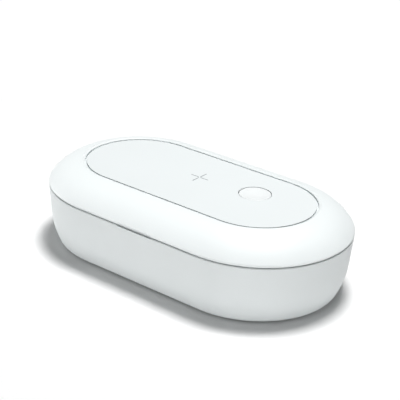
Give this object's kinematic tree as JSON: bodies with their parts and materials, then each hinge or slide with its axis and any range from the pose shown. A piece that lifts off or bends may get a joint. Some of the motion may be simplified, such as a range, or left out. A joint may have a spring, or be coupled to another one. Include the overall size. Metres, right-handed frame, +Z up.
{
  "type": "uv sanitizer box for phones",
  "caption": "Rounded white box with a hinged lid that closes over an ultraviolet chamber for a phone; a round button and a charging mark sit in the lid's flat top.",
  "frame": {"origin": "on the ground under the middle of the box", "axes": "+X along the box towards the button, -Y to the front with the finger notch, +Y to the hinge, +Z up"},
  "size_m": [0.22, 0.1281, 0.0576],
  "materials": {
    "shell_white": "white ABS with a soft gloss",
    "panel_white": "satin white top panel",
    "button_white": "satin white cap",
    "liner_white": "glossy white, reflects the lamps' light",
    "mark_grey": "grey inlay, flush",
    "seal_grey": "soft silicone",
    "rail_clear": "frosted",
    "lamp_glass": "clear quartz",
    "lamp_chip": "ceramic with a yellow emitter",
    "circuit_board": "green solder mask",
    "chip_black": "moulded black",
    "bright_steel": "bright",
    "screw_steel": "zinc plated",
    "magnet_nickel": "nickel plated",
    "cable_black": "thin soft jacket",
    "foot_rubber": "dark grey rubber",
    "coil_copper": "enamelled copper winding",
    "ferrite_dark": "dull ferrite",
    "plunger_grey": "moulded grey"
  },
  "bodies": {
    "base": {"base_shell": "shell_white", "chamber_liner": "liner_white", "rim_seal": "seal_grey", "phone_rails": "rail_clear", "lower_windows": "lamp_glass", "lower_lamp_board": "circuit_board", "lower_lamps": "lamp_chip", "main_board": "circuit_board", "main_board_parts": "chip_black", "usb_c_socket": "bright_steel", "usb_c_tongue": "chip_black", "lid_sensor": "chip_black", "base_magnets": "magnet_nickel", "hinge_pins": "bright_steel", "base_cable": "cable_black", "base_screws": "screw_steel", "base_board_screws": "screw_steel", "rubber_feet": "foot_rubber"},
    "lid": {"lid_shell": "shell_white", "top_panel": "panel_white", "charge_mark": "mark_grey", "lid_liner": "liner_white", "upper_windows": "lamp_glass", "upper_lamp_board": "circuit_board", "upper_lamps": "lamp_chip", "charging_coil": "coil_copper", "ferrite_sheet": "ferrite_dark", "charger_board": "circuit_board", "charger_parts": "chip_black", "button_board": "circuit_board", "switch_housing": "chip_black", "lid_magnets": "magnet_nickel", "lid_cable": "cable_black", "lid_screws": "screw_steel", "lid_board_screws": "screw_steel"},
    "button": {"power_button": "button_white", "switch_plunger": "plunger_grey"}
  },
  "joints": [
    {"name": "lid_hinge", "type": "hinge", "parent": "base", "child": "lid", "pos_m": [0, 0.0626, 0.042], "axis": [-1, 0, 0], "range_deg": [0, 100]},
    {"name": "power_button_press", "type": "slide", "parent": "lid", "child": "button", "axis": [0, 0, -1], "range_m": [0, 0.0006], "stiffness_N_per_m": 2000, "springref_m": -0.0003}
  ]
}
